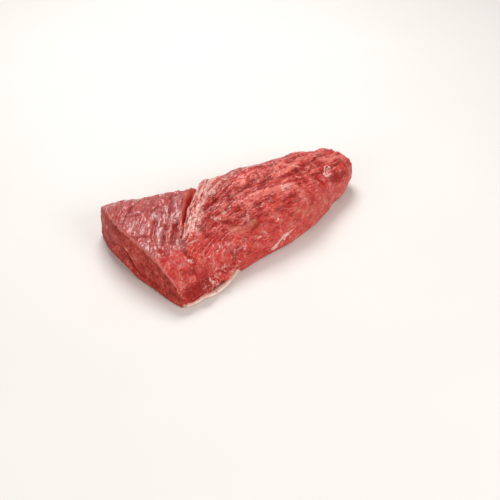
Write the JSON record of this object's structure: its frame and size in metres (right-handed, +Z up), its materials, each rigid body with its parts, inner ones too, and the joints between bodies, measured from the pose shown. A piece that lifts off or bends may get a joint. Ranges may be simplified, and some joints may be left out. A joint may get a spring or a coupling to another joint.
{
  "type": "raw beef tri-tip",
  "caption": "Raw beef tri-tip lying on its flat side: a broad straight cut end tapering to a round tail, two muscles parted by a slanting cleft, a thin rim of fat.",
  "frame": {"origin": "on the surface it rests on, under the middle of its bounds", "axes": "+X along its length from the straight cut end to the round tail, +Y across it from the side with the fat rim to the side where the cleft opens, +Z up"},
  "size_m": [0.265, 0.1444, 0.0551],
  "materials": {
    "raw_beef": "moist red flesh with pale sinew films and a soft wet sheen",
    "beef_fat": "cream pink fat and sinew with a soft wet sheen"
  },
  "bodies": {
    "root": {"beef_tri_tip": "raw_beef"}
  },
  "joints": []
}
